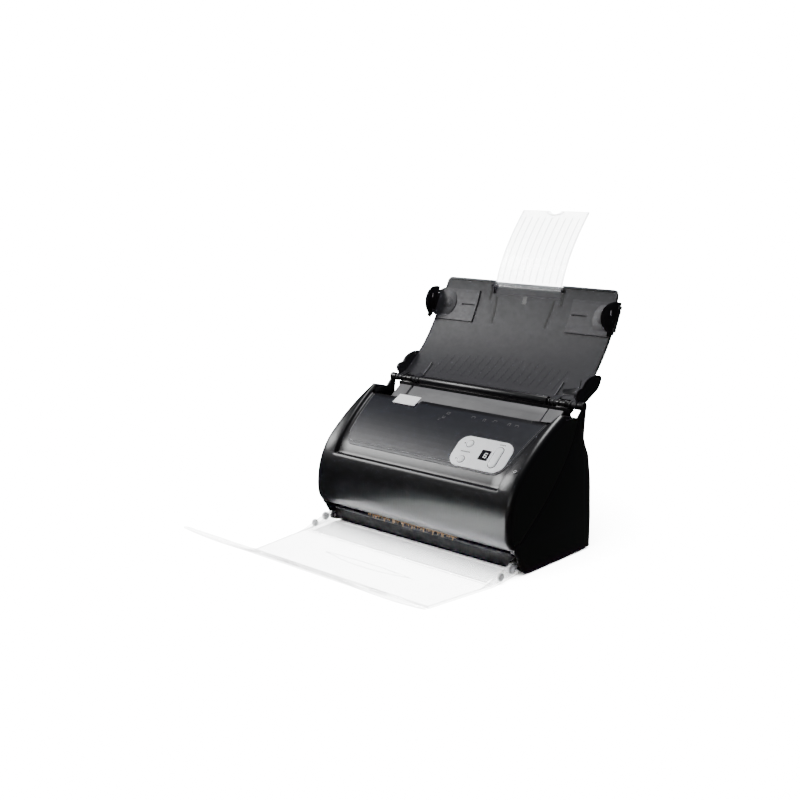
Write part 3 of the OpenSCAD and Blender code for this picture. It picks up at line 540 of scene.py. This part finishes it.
def make_cover_shell():
    groove = COVER.s_where(0, GROOVE_Y)
    length = COVER.reach[-1]
    near = [groove + d for d in (-6, -2.7, -2, -1.3, -0.6, 0.1, 0.8, 1.7, 5)]
    top = [COVER.s_where(0, y) for y in (24.9, 20, 14.1, 13.9, 8.1, 7.9)]
    above = [i * (groove - 9) / 26 for i in range(3, 27)]
    below = [groove + 9 + i * (length - groove - 9) / 22 for i in range(23)]
    stations = sorted([0.0] + top + [s for s in above if s > top[-1] + 1] + near + below)
    edge = list(reversed(SEAM_ROUND + SEAM[1:]))
    seam = Surface(edge, 1)
    outer, inner = [], []
    for s in stations:
        q = seam.spot(seam.reach[-1] * s / length)[1]
        skin, lining = [at(-HALF, *q)], [at(CAP_T - HALF, *q)]
        for x in cover_columns(s):
            held = max(s, COVER.s_where(0, cover_back(x, s)))
            low = recess_depth(x, held) + side_depth(x, s)
            within = max(CAP_T - HALF, min(HALF - CAP_T, x))
            below_skin = recess_depth(within, held) + side_depth(within, s) + COVER_WALL
            skin.append(COVER.place(x, held, -low))
            lining.append(COVER.place(within, held, -below_skin))
        outer.append(skin + [at(HALF, *q)])
        inner.append(lining + [at(HALF - CAP_T, *q)])
    shell = thick_sheet("cover_shell_finished", outer, inner, "cover", "black_gloss")
    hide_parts("front_cover_shell")
    rail_end = [(20, 162), (24.9, 180.5), (36, 178.4), (49.5, 174.6), (49, 169), (34, 160)]
    arm = [(-52, 52), (-20, 84), (10, 116), (22, 150), (0, 158), (-40, 126), (-70, 84)]
    arm = arc(COVER_PIVOT, 6.4, 200, 330, 10) + [Vector(p) for p in arm]
    arm_t = HALF - CAP_T - ARM_IN
    end_t = RAIL_END_OUT - RAIL_END_IN
    for side, tag in SIDES:
        place = along_x(outward(side, ARM_IN, arm_t), 0, 0)
        plate(f"cover_arm_{tag}", arm, arm_t, place, "cover", "black_gloss", soft=0.5)
        place = along_x(outward(side, RAIL_END_IN, end_t), 0, 0)
        plate(f"rail_end_{tag}", rail_end, end_t, place, "cover", "black_gloss", soft=1.6)


# ---- top panel and controls --------------------------------------------------------------

PANEL_GAP = 6.5
PANEL_CORNER = 13
PANEL_LOW_Y = -58.5
PANEL_BACK_Y = 10
CONTROL = (-39.8, 133.3)
CONTROL_SLOPE = 41.5
CONTROL_X = 85
CONTROL_W = 83
CONTROL_L = 45
BUTTONS = {"up": (62, 11), "down": (62, -13)}
BUTTON_R = 4.6
SCAN_BUTTON = (108, -1)
WINDOW = (91, -1)
STATUS_LIGHT = (147.4, -55.6, 125.9)
LIGHT_SLOPE = 42
RIM_SHARE = 0.43             # past this share of its width or length lies the control plate's rim
MARK_H = -4.35               # the marks' height on the cover's curve, just above the top panel


def on_control(x, up, h=0.0):
    turned = Matrix.Rotation(math.radians(CONTROL_SLOPE), 4, "X") @ Matrix.Scale(MM, 4)
    return Matrix.Translation(at(0, *CONTROL)) @ turned @ shift(x, up, h)


def panel_edge(margin, n=10):
    """The panel's outline as (x, s) points, with rounded lower corners, grown by a margin."""
    low = COVER.s_where(0, PANEL_LOW_Y) + margin
    high = COVER.s_where(0, PANEL_BACK_Y)
    r = PANEL_CORNER + margin
    side = [high + (low - r - high) * i / 14 for i in range(15)]
    right = [(recess_half(s) - PANEL_GAP + margin, s) for s in side]
    corner_x = recess_half(low) - PANEL_GAP + margin - r
    corner = [(corner_x + r * math.cos(a), low - r + r * math.sin(a))
              for a in (math.pi / 2 * i / n for i in range(1, n + 1))]
    path = right + corner
    return path + [(-x, s) for x, s in reversed(path)]


def make_panel():
    # A matte dark strip round the top panel: painted shade for the shadowed gap between the panel and the
    # cover's floor.
    bead("panel_gap_shade", COVER, panel_edge(1.0), 1.9, -FLOOR_DEPTH - 0.6, 0.16 - FLOOR_DEPTH,
         "cover", "rubber", soft=0.05)
    # A rounded rim just inside it, raised and lighter grey: the raised edge is real, and its lighter grey
    # is a painted highlight of the panel's bright edge.
    bead("panel_edge_highlight", COVER, panel_edge(-0.5), 0.9, -FLOOR_DEPTH - 0.4, 0.72 - FLOOR_DEPTH,
         "cover", "ramp_grey", soft=0.35)


def bar(name, x, up, w, l, place, body, slot, high=0.15, r=0.0):
    return plate(name, box_outline(w, l, r), high, place @ shift(x, up), body, slot)


def on_rim(p):
    return abs(p.x) > RIM_SHARE * CONTROL_W or abs(p.y) > RIM_SHARE * CONTROL_L


def make_controls():
    face = on_control(0, 0, 1.0)
    for name, (x, up) in BUTTONS.items():
        turn = 1 if name == "up" else -1
        softened(name + "_button", 0.0011, 4)
        arrow = [(-1.3, -0.8 * turn), (1.3, -0.8 * turn), (0, 1.1 * turn)]
        if turn < 0:
            arrow.reverse()
        plate(f"{name}_mark", arrow, 0.15, on_control(x - 7.6, up, 1.0), "cover", "guide_grey")
        # A thin dark ring round each button: painted shade for the shadowed gap about it.
        rim = circle(BUTTON_R + 0.8)
        plate(f"{name}_button_shade_ring", rim, 0.06, on_control(x, up, 0.98), "cover", "guide_grey")
    softened("scan_button", 0.0013, 4)
    local = on_control(CONTROL_X, 0).inverted()
    softened("control_plate", 0.0009, 4, only=lambda p: on_rim(local @ p))
    # A dark rounded ring round the scan button: painted shade for the shadowed gap about it.
    rim = box_outline(12.6, 31.6, 6.2, 8)
    plate("scan_button_shade_ring", rim, 0.06, face @ shift(*SCAN_BUTTON, -0.02), "cover", "guide_grey")
    for k, width in enumerate((1.5, 1.0, 1.6, 1.2)):
        bar(f"scan_label_{k}", SCAN_BUTTON[0] - 3.2 + 2.2 * k, SCAN_BUTTON[1] + 18.6, width, 1.3, face,
            "cover", "guide_grey")
    for k in range(7):
        width = 1.3 + 0.3 * (k % 2)
        bar(f"select_label_{k}", 55.5 + 2.1 * k, -1.2, width, 1.4, face, "cover", "guide_grey")
    make_digit(face @ shift(*WINDOW, -0.1))


def make_digit(face):
    """A plain six in seven part form, leaning a little: every bar but the upper right one is lit."""
    w, l, t = 3.6, 6.4, 1.0
    lit = {"top": (0, l / 2, w, t), "middle": (0, 0, w, t), "bottom": (0, -l / 2, w, t),
           "upper_left": (-w / 2, l / 4, t, l / 2), "lower_right": (w / 2, -l / 4, t, l / 2),
           "lower_left": (-w / 2, -l / 4, t, l / 2)}
    lean = Matrix.Rotation(math.radians(-4), 4, "Z")
    for name, (x, y, bar_w, bar_l) in lit.items():
        bar(f"digit_{name}", x + 1.4, y, bar_w, bar_l, face @ lean, "cover", "white_plastic", high=0.12)


def make_panel_marks():
    """Small drawn marks for paper and its ways in: sheets, corners and arrows, with no letters."""
    spots = [(38, 0), (56, 1.5), (72, 0), (94, 1), (106, 1.5)]
    base = COVER.s_where(0, 3)
    for k, (x, down) in enumerate(spots):
        place = COVER.frame(x, base + 2 + down, MARK_H)
        w, l = (3.2, 4.6) if k % 2 else (4.6, 3.0)
        bars = ((0, l / 2, w, 0.5), (-w / 2, 0, 0.5, l), (w / 2, 0, 0.5, l))
        for n, (dx, dy, bw, bl) in enumerate(bars):
            bar(f"panel_mark_{k}_{n}", dx, dy, bw, bl, place, "cover", "ramp_grey", high=0.1)
    place = COVER.frame(-2, base + 9, MARK_H)
    sheet = [(0, 8, 4, 0.6), (0, 4.6, 4, 0.6), (-2, 6.3, 0.6, 3.6), (2, 6.3, 0.6, 3.6)]
    corner = [(-4, -1.4, 0.6, 4), (-2.4, -3.2, 3.4, 0.6), (-0.8, -1.6, 0.6, 3.4)]
    lines = [(-7, -5, 3, 0.6), (-7, -7.4, 3, 0.6)]
    for n, (dx, dy, bw, bl) in enumerate(sheet + corner + lines):
        bar(f"sheet_mark_{n}", dx, dy, bw, bl, place, "cover", "ramp_grey", high=0.1)


def make_status_light():
    turned = Matrix.Rotation(math.radians(LIGHT_SLOPE), 4, "X")
    place = Matrix.Translation(at(*STATUS_LIGHT)) @ turned @ Matrix.Scale(MM, 4)
    ring, lens = place @ shift(0, 0, -0.6), place @ shift(0, 0, 0.5)
    plate("status_light_ring", circle(3.1), 1.2, ring, "cover", "guide_grey", soft=0.3)
    plate("status_light_lens", circle(1.9), 0.3, lens, "cover", "display", soft=0.1)


# ---- input chute -------------------------------------------------------------------------

WING_Z = 282
WING_AXIS_X = 149.5
WING_TILT = {"left": 0.0, "right": math.radians(40)}
DISC_X = 135
DISC_R = 21.8
HINGE = (68, 185)
CHUTE_HALF = 145
CHUTE_TOP_HALF = 140
TAPER_Z = (262, 310)         # the chute narrows between these heights
CHUTE_RIBS = 17


def chute_half(z):
    low, high = TAPER_Z
    return CHUTE_HALF if z < low else CHUTE_HALF + (CHUTE_TOP_HALF - CHUTE_HALF) * (z - low) / (high - low)


def chute_path(z0, z1, x_of, n=16):
    s0, s1 = CHUTE.s_where(1, z0), CHUTE.s_where(1, z1)
    spots = [s0 + (s1 - s0) * i / n for i in range(n + 1)]
    return [(x_of(CHUTE.spot(s)[1].y), s) for s in spots]


def make_chute():
    softened("chute_panel", 0.0005, 2, angle=40)
    for side, tag in SIDES:
        rim = chute_path(222, 308, lambda z: side * (chute_half(z) - 1.6), 24)
        bead(f"chute_rim_{tag}", CHUTE, rim, 2.2, -0.5, 0.8, "chute", "charcoal", soft=0.4)
        top = [(side * x, CHUTE.s_where(1, 316)) for x in (62, 90, 120, 134)]
        bead(f"chute_top_rim_{tag}", CHUTE, top, 2.8, -0.5, 1.1, "chute", "black_gloss", soft=0.4)
        channel = chute_path(291, 316, lambda z: side * 58.6, 6)
        bead(f"notch_channel_{tag}", CHUTE, channel, 4.2, -0.5, 0.2, "chute", "rubber", soft=0.1)
        # Two dark matte strips on the chute, one a side, for its V grooves: painted shade, the grooves'
        # dark wedge shadows laid on as colour.
        groove = chute_path(262, 298, lambda z: side * (43 + (z - 262) / 8), 10)
        bead(f"chute_groove_shade_{tag}", CHUTE, groove, 3.2, -0.4, 0.15, "chute", "rubber", soft=0.1)
        # A raised rib near each lower corner of the chute: the rib is real, and its light grey is a painted
        # glint along its edge.
        rail = chute_path(190, 205, lambda z: side * 109, 8)
        bead(f"glint_rib_{tag}", CHUTE, rail, 1.5, -0.4, 2.2, "chute", "ramp_grey", soft=0.5)
    latch = chute_path(290, 300, lambda z: 0, 4)
    bead("notch_latch", CHUTE, latch, 6.5, -0.4, 0.2, "chute", "black_gloss", soft=0.1)
    for k in range(CHUTE_RIBS):
        x = -100 + 12.4 * k
        top_z = 224 - abs(CHUTE_RIBS // 2 - k) * 0.8
        rib = chute_path(196, top_z, lambda z: x + (z - 196) * 0.35, 8)
        bead(f"chute_rib_{k}", CHUTE, rib, 1.6, -0.2, 0.24, "chute", "charcoal", soft=0.1)
    back = [CHUTE.s_where(1, z) for z in (297, 301, 306, 311, 316.5)]
    outer = [[CHUTE.place(x, s, -3.1) for x in (-57, 0, 57)] for s in back]
    inner = [[CHUTE.place(x, s, -4.4) for x in (-57, 0, 57)] for s in back]
    thick_sheet("notch_back", outer, inner, "chute", "charcoal")
    scoop = [(113, 8), (133, 14), (137, 3), (119, -1)]
    base = CHUTE.s_where(1, 193)
    plate("corner_scoop", scoop, 0.6, CHUTE.frame(0, base), "chute", "black_gloss", soft=0.25)
    rim = [(131, base + 26), (134, base + 18), (136, base + 6)]
    bead("scoop_rim", CHUTE, rim, 1.2, -0.3, 0.7, "chute", "black_gloss")


def make_guides():
    for side, tag in SIDES:
        body = "guide_" + tag
        s = CHUTE.s_where(1, WING_Z)
        face = CHUTE.frame(side * DISC_X, s, 2.3)
        rim = [p for p in circle(DISC_R, 48) if p.x * side < WING_AXIS_X - DISC_X - 1.1]
        rim.sort(key=lambda p: math.atan2(p.y, -p.x * side))
        if side < 0:
            rim.reverse()
        plate(f"guide_disc_{tag}", rim, 0.5, face, body, "guide_grey", soft=0.15)
        eye = face @ shift(-side * 7.5, 0, 0.45)
        plate(f"guide_eye_{tag}", circle(8, 32), 0.4, eye, body, "charcoal", soft=0.25)
        dot = eye @ shift(0, 0, 0.3)
        plate(f"guide_eye_dot_{tag}", circle(3.4, 24), 0.3, dot, body, "guide_grey", soft=0.1)
        seat = CHUTE.frame(side * 148.4, s, 0.6)
        plate(f"wing_seat_{tag}", box_outline(4.4, 25, 0.8), 2.5, seat, body, "black_gloss", soft=0.3)
        softened(f"{tag}_guide_wing", 0.0004, 2)
        wing = CHUTE.frame(side * WING_AXIS_X, s, 4.5) @ Matrix.Rotation(-side * WING_TILT[tag], 4, "Y")
        mark = [(2, 9), (8, 10), (8, 10.7), (2, 9.7)]
        place = wing @ shift(0.8, 0, 0) @ TO_X
        plate(f"wing_mark_{tag}", mark, 0.12, place, "wing_" + tag, "white_plastic")
        foot = [(-25, 1), (-19, 1), (-17, 9), (-25, 7)]
        place = wing @ shift(-0.9, 0, 0) @ TO_X
        plate(f"wing_foot_{tag}", foot, 1.8, place, "wing_" + tag, "black_gloss", soft=0.3)


# ---- hinges ------------------------------------------------------------------------------


HINGE_COLLARS = ((107.6, 2.2, 4.9), (113.5, 2.2, 4.7), (121, 3, 4.9), (130.2, 3, 4.9), (138.4, 2.4, 5.0))
BRACKET_X = (119.5, 136)     # the collars between these belong to the base's brackets


def make_hinges():
    """Collars on the chute's hinge, each an inner face, a width and a radius."""
    softened("hinge_brackets", 0.0006, 2, angle=40)
    softened("entry_ramp", 0.0004, 2)
    for side, tag in SIDES:
        for k, (inner, w, r) in enumerate(HINGE_COLLARS):
            body = "base" if BRACKET_X[0] <= inner <= BRACKET_X[1] else "chute"
            place = along_x(outward(side, inner, w), *HINGE)
            plate(f"hinge_collar_{tag}_{k}", circle(r, 28), w, place, body, "black_gloss", soft=0.5)


# ---- extension and trays -----------------------------------------------------------------

FLAP = Surface(bezier((163.6, 311.6), (174.5, 357), (225, 412), 24), -1)
IN_SHEET = (-1.95, -0.05)    # just within the clear sheet's two faces, so that it still folds flat


def make_extension():
    length = FLAP.reach[-1]
    for k in range(9):
        x = -44 + 11 * k
        rib = [(x, 8 + (length - 20) * i / 14) for i in range(15)]
        bead(f"extension_rib_{k}", FLAP, rib, 0.8, *IN_SHEET, "chute_flap", "clear_extension", soft=0.15)
    for side, tag in SIDES:
        rim = [(side * 53, 3 + (length - 4) * i / 14) for i in range(15)]
        bead(f"extension_rim_{tag}", FLAP, rim, 1.4, *IN_SHEET, "chute_flap", "clear_extension", soft=0.3)
    turns = [math.pi * (0.06 + 0.88 * i / 16) for i in range(17)]
    crescent = [(14 * math.cos(a), length + 1 - 8 * math.sin(a)) for a in turns]
    bead("extension_crescent", FLAP, crescent, 1.2, *IN_SHEET, "chute_flap", "clear_extension", soft=0.2)


CREASE_Y = -104
FOLD_Y = -206
TRAY = Surface([Vector(p) for p in ((-57.5, 7.2), (-62, 6.4), (-104, 3), (-203, 3))], 1)
TRAY_FRONT = Surface(bezier((-207, 3.4), (-262, 27), (-320, 64), 24), 1)


TRAY_HALF = 157
TRAY_FRONT_HALF = 144
TRAY_RAMP_HALF = 143
FIN_IN, FIN_T = 151.3, 1.2
BOSS_IN, BOSS_T = 152.6, 3.4
BOSSES = ((-69.5, 13.5, 5.4), (-89, 8.4, 4.8))       # y, z and radius


def tray_half(y):
    return TRAY_HALF - (TRAY_HALF - TRAY_FRONT_HALF) / (CREASE_Y - FOLD_Y) * (CREASE_Y - y)


def make_trays():
    softened("output_tray", 0.0005, 2, angle=40)
    softened("tray_extension", 0.0005, 2, angle=40)
    steps = [i / 16 for i in range(17)]
    s0, s1 = TRAY.s_where(0, -64), TRAY.s_where(0, FOLD_Y + 4)
    for side, tag in SIDES:
        near = [s0 + (s1 - s0) * t for t in steps]
        rim = [(side * (min(155, tray_half(TRAY.spot(s)[1].x) - 2) - 1), s) for s in near]
        bead(f"tray_rim_{tag}", TRAY, rim, 2.0, -0.3, 0.5, "tray", "clear_tray", soft=0.2)
        length = TRAY_FRONT.reach[-1]
        far = [(side * (tray_half(TRAY_FRONT.spot(length * t)[1].x) - 2.5), length * t) for t in steps]
        bead(f"tray_front_rim_{tag}", TRAY_FRONT, far, 2.0, -2.8, -1.7, "tray_flap", "clear_tray", soft=0.4)
        fin = [(-125, 2.6), (-62, 4.6), (-57.5, 8), (-59, 19), (-68, 19.5), (-78, 16), (-92, 11.5),
               (-110, 6), (-125, 3.2)]
        place = along_x(outward(side, FIN_IN, FIN_T), 0, 0)
        plate(f"tray_fin_{tag}", fin, FIN_T, place, "tray", "clear_tray", soft=0.3)
        for k, (y, z, r) in enumerate(BOSSES):
            place = along_x(outward(side, BOSS_IN, BOSS_T), y, z)
            plate(f"tray_boss_{tag}_{k}", circle(r, 32), BOSS_T, place, "tray", "white_plastic", soft=0.7)
            cap = circle(r / 2, 24)
            plate(f"tray_boss_cap_{tag}_{k}", cap, BOSS_T + 0.4, place, "tray", "clear_tray", soft=0.4)
    ramp = [(-103, 3.1), (-62, 6.4), (-62, 6.75), (-103, 3.45)]
    place = along_x(-TRAY_RAMP_HALF, 0, 0)
    plate("tray_ramp", ramp, 2 * TRAY_RAMP_HALF, place, "tray", "clear_extension")
    crease = TRAY.s_where(0, CREASE_Y)
    for k, (shift_s, width) in enumerate(((-2, 1.6), (3.5, 0.8))):
        path = [(x, crease + shift_s) for x in range(-152, 153, 16)]
        bead(f"tray_crease_{k}", TRAY, path, width, -0.2, 0.6, "tray", "clear_tray", soft=0.2)
    mid = TRAY.s_where(0, -150)
    wide = [(-70 + 10 * i, mid + 10 * math.sin(math.pi * i / 14)) for i in range(15)]
    bead("tray_lens_front", TRAY, wide, 1.2, -0.2, 0.7, "tray", "clear_tray", soft=0.25)
    deep = [(x, mid - 4 * math.sin(math.pi * i / 14)) for i, (x, _) in enumerate(wide)]
    bead("tray_lens_back", TRAY, deep, 1.2, -0.2, 0.7, "tray", "clear_tray", soft=0.25)
    tip = [(x, TRAY_FRONT.reach[-1] - 3) for x in range(-128, 129, 16)]
    bead("tray_tip_rim", TRAY_FRONT, tip, 2.4, -0.3, 1.4, "tray_flap", "clear_tray", soft=0.5)


# ---- paper exit --------------------------------------------------------------------------


BRUSH = (0, -70.3, 35.6)
BRUSH_TUFTS = 50
SILL_RIBS = 13


def make_exit():
    """Brush fibres of uneven length under the cover's chin, and the ribs on the sill."""
    softened("exit_sill", 0.0005, 2, slot="rubber")
    for k in range(BRUSH_TUFTS):
        x = -73 + 3 * k
        drop = 3.4 + 1.8 * math.sin(2.3 * k) + 1.3 * math.sin(5.1 * k)
        lean = 0.9 * math.sin(3.7 * k)
        tuft = [(x - 1.2, 0), (x + 1.1, 0), (x + 0.7 + lean, -drop), (x - 0.5 + lean, -drop - 0.8)]
        place = Matrix.Translation(at(*BRUSH)) @ Matrix.Rotation(math.radians(90), 4, "X")
        plate(f"brush_tuft_{k}", tuft[::-1], 0.7, place @ Matrix.Scale(MM, 4), "cover", "brush_fibre")
    for k in range(SILL_RIBS):
        x = -132 + 22 * k
        rib = [(-59.5, 26.6), (-49, 25.2), (-49.5, 27.4), (-58.8, 28.2)]
        plate(f"sill_rib_{k}", rib, 1.6, along_x(x - 0.8, 0, 0), "base", "charcoal", soft=0.3)


# ---- sides and back ----------------------------------------------------------------------


def make_sides():
    for tag in ("left", "right"):
        softened(f"{tag}_side_panel", 0.0014, 4, only=lambda p: abs(p.x) > (HALF - 0.4) * MM)


# Each port's name, distance from the middle, width and height.
PORTS = (("usb", 80, 17, 15), ("jack", 112, 15, 15), ("switch", 138, 25, 17))
PORT_Z = 30
SCREW_X = 148


def make_back():
    """Vent bars, a blank rating plate, port surrounds and cover screws on the rear."""
    softened("rear_cover", 0.0005, 2, angle=40)
    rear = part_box("rear_cover")[1].y / MM - BODY_Y
    turned = Matrix.Rotation(math.radians(90), 4, "X")
    face = Matrix.Translation(at(0, rear - 1.2, 0)) @ Matrix.Rotation(math.pi, 4, "Z") @ turned
    face = face @ Matrix.Scale(MM, 4)
    skin, label = face @ shift(0, 0, 1.0), face @ shift(0, 0, 1.4)
    rating = box_outline(58, 26, 2)
    plate("rating_plate", rating, 0.4, skin @ shift(60, 26), "base", "silver_plastic", soft=0.15)
    for k in range(4):
        width = 44 - 6 * (k % 2)
        bar(f"rating_line_{k}", 60, 33 - 4.4 * k, width, 1.1, label, "base", "guide_grey")
    for name, x, w, l in PORTS:
        edges = ((0, l / 2, w, 1), (0, -l / 2, w, 1), (-w / 2, 0, 1, l), (w / 2, 0, 1, l))
        for k, (dx, dy, bw, bl) in enumerate(edges):
            bar(f"{name}_surround_{k}", dx - x, PORT_Z + dy, bw, bl, skin, "base", "charcoal", high=0.7)
    for side, tag in SIDES:
        for k, up in enumerate((16, 120)):
            y = rear if up < 60 else 81.5
            place = Matrix.Translation(at(side * SCREW_X, y - 0.6, up)) @ turned
            place = place @ Matrix.Rotation(math.pi, 4, "X") @ Matrix.Scale(MM, 4)
            plate(f"rear_screw_{tag}_{k}", circle(3, 24), 1.4, place, "base", "steel", soft=0.3)


# ---- stage -----------------------------------------------------------------------------


def lit_only(light, name, receivers):
    """Makes light fall on nothing but the receivers."""
    group = bpy.data.collections.new(name)
    for receiver in receivers:
        group.objects.link(receiver)
    light.light_linking.receiver_collection = group


def add_floor():
    bpy.ops.mesh.primitive_plane_add(size=60, location=(0, 0, 0))
    floor = bpy.context.object
    floor.name = "floor"
    shade = Shade("floor_white", (0.93, 0.93, 0.93), 0.7, Specular_IOR_Level=0.1)
    floor.data.materials.append(shade.vary_roughness(3, 0.03).material)
    floor.visible_glossy = False
    floor.visible_diffuse = False
    return floor


def aimed(name, data, place, target):
    light = bpy.data.objects.new(name, data)
    bpy.context.collection.objects.link(light)
    light.location = place
    light.rotation_euler = (Vector(place) - Vector(target)).to_track_quat("Z", "Y").to_euler()
    return light


def add_softbox(name, place, target, size, power, tall=None):
    data = bpy.data.lights.new(name, "AREA")
    data.energy = power
    data.shape = "RECTANGLE"
    data.size = size
    data.size_y = tall or size
    return aimed(name, data, place, target)


def add_floor_sun(floor):
    data = bpy.data.lights.new("floor_light", "SUN")
    data.energy = 70
    data.angle = math.radians(75)
    lit_only(aimed("floor_light", data, (0.2, -0.5, 2), (0, 0, 0)), "floor_only", [floor])


GLOW_TOWARD = (-0.62, -0.68, -0.39)
GLOW = {"From Min": 0.94, "From Max": 1.02, "To Min": 0.05, "To Max": 0.2}
WHITE_STRENGTH = 40


def add_world():
    """White to the camera, and to everything else a dim room with a glow low on the left."""
    world = bpy.data.worlds.new("studio")
    bpy.context.scene.world = world
    world.use_nodes = True
    tree = world.node_tree
    seen = tree.nodes["Background"]
    seen.inputs["Strength"].default_value = WHITE_STRENGTH
    room = tree.nodes.new("ShaderNodeBackground")
    toward = tree.nodes.new("ShaderNodeVectorMath")
    toward.operation = "DOT_PRODUCT"
    toward.inputs[1].default_value = GLOW_TOWARD
    tree.links.new(tree.nodes.new("ShaderNodeTexCoord").outputs["Generated"], toward.inputs[0])
    glow = tree.nodes.new("ShaderNodeMapRange")
    for socket, value in GLOW.items():
        glow.inputs[socket].default_value = value
    tree.links.new(toward.outputs["Value"], glow.inputs["Value"])
    tree.links.new(glow.outputs["Result"], room.inputs["Strength"])
    path = tree.nodes.new("ShaderNodeLightPath")
    either = tree.nodes.new("ShaderNodeMixShader")
    for sky in (seen, room):
        sky.inputs["Color"].default_value = (1, 1, 1, 1)
    tree.links.new(path.outputs["Is Camera Ray"], either.inputs[0])
    tree.links.new(room.outputs[0], either.inputs[1])
    tree.links.new(seen.outputs[0], either.inputs[2])
    tree.links.new(either.outputs[0], tree.nodes["World Output"].inputs["Surface"])


def add_studio():
    add_world()
    add_floor_sun(add_floor())
    body = (0, 0, 0.1)
    add_softbox("overhead", (0.05, 0.3, 1.5), body, 0.6, 20)
    add_softbox("left_panel", (-1.15, -0.55, 1.1), body, 0.6, 22)
    add_softbox("front_strip", (0.5, -1.7, 0.9), body, 1.4, 4, tall=0.3)


# ---- making the scanner ----------------------------------------------------------------

add_camera()
for name, obj in nodes.items():
    dress(obj, SLOT_OF[name])
make_cover_shell()
make_panel()
make_controls()
make_panel_marks()
make_status_light()
make_chute()
make_guides()
make_hinges()
make_extension()
make_sides()
make_trays()
make_exit()
make_back()
softened("release_tab", 0.0006, 3)
add_studio()
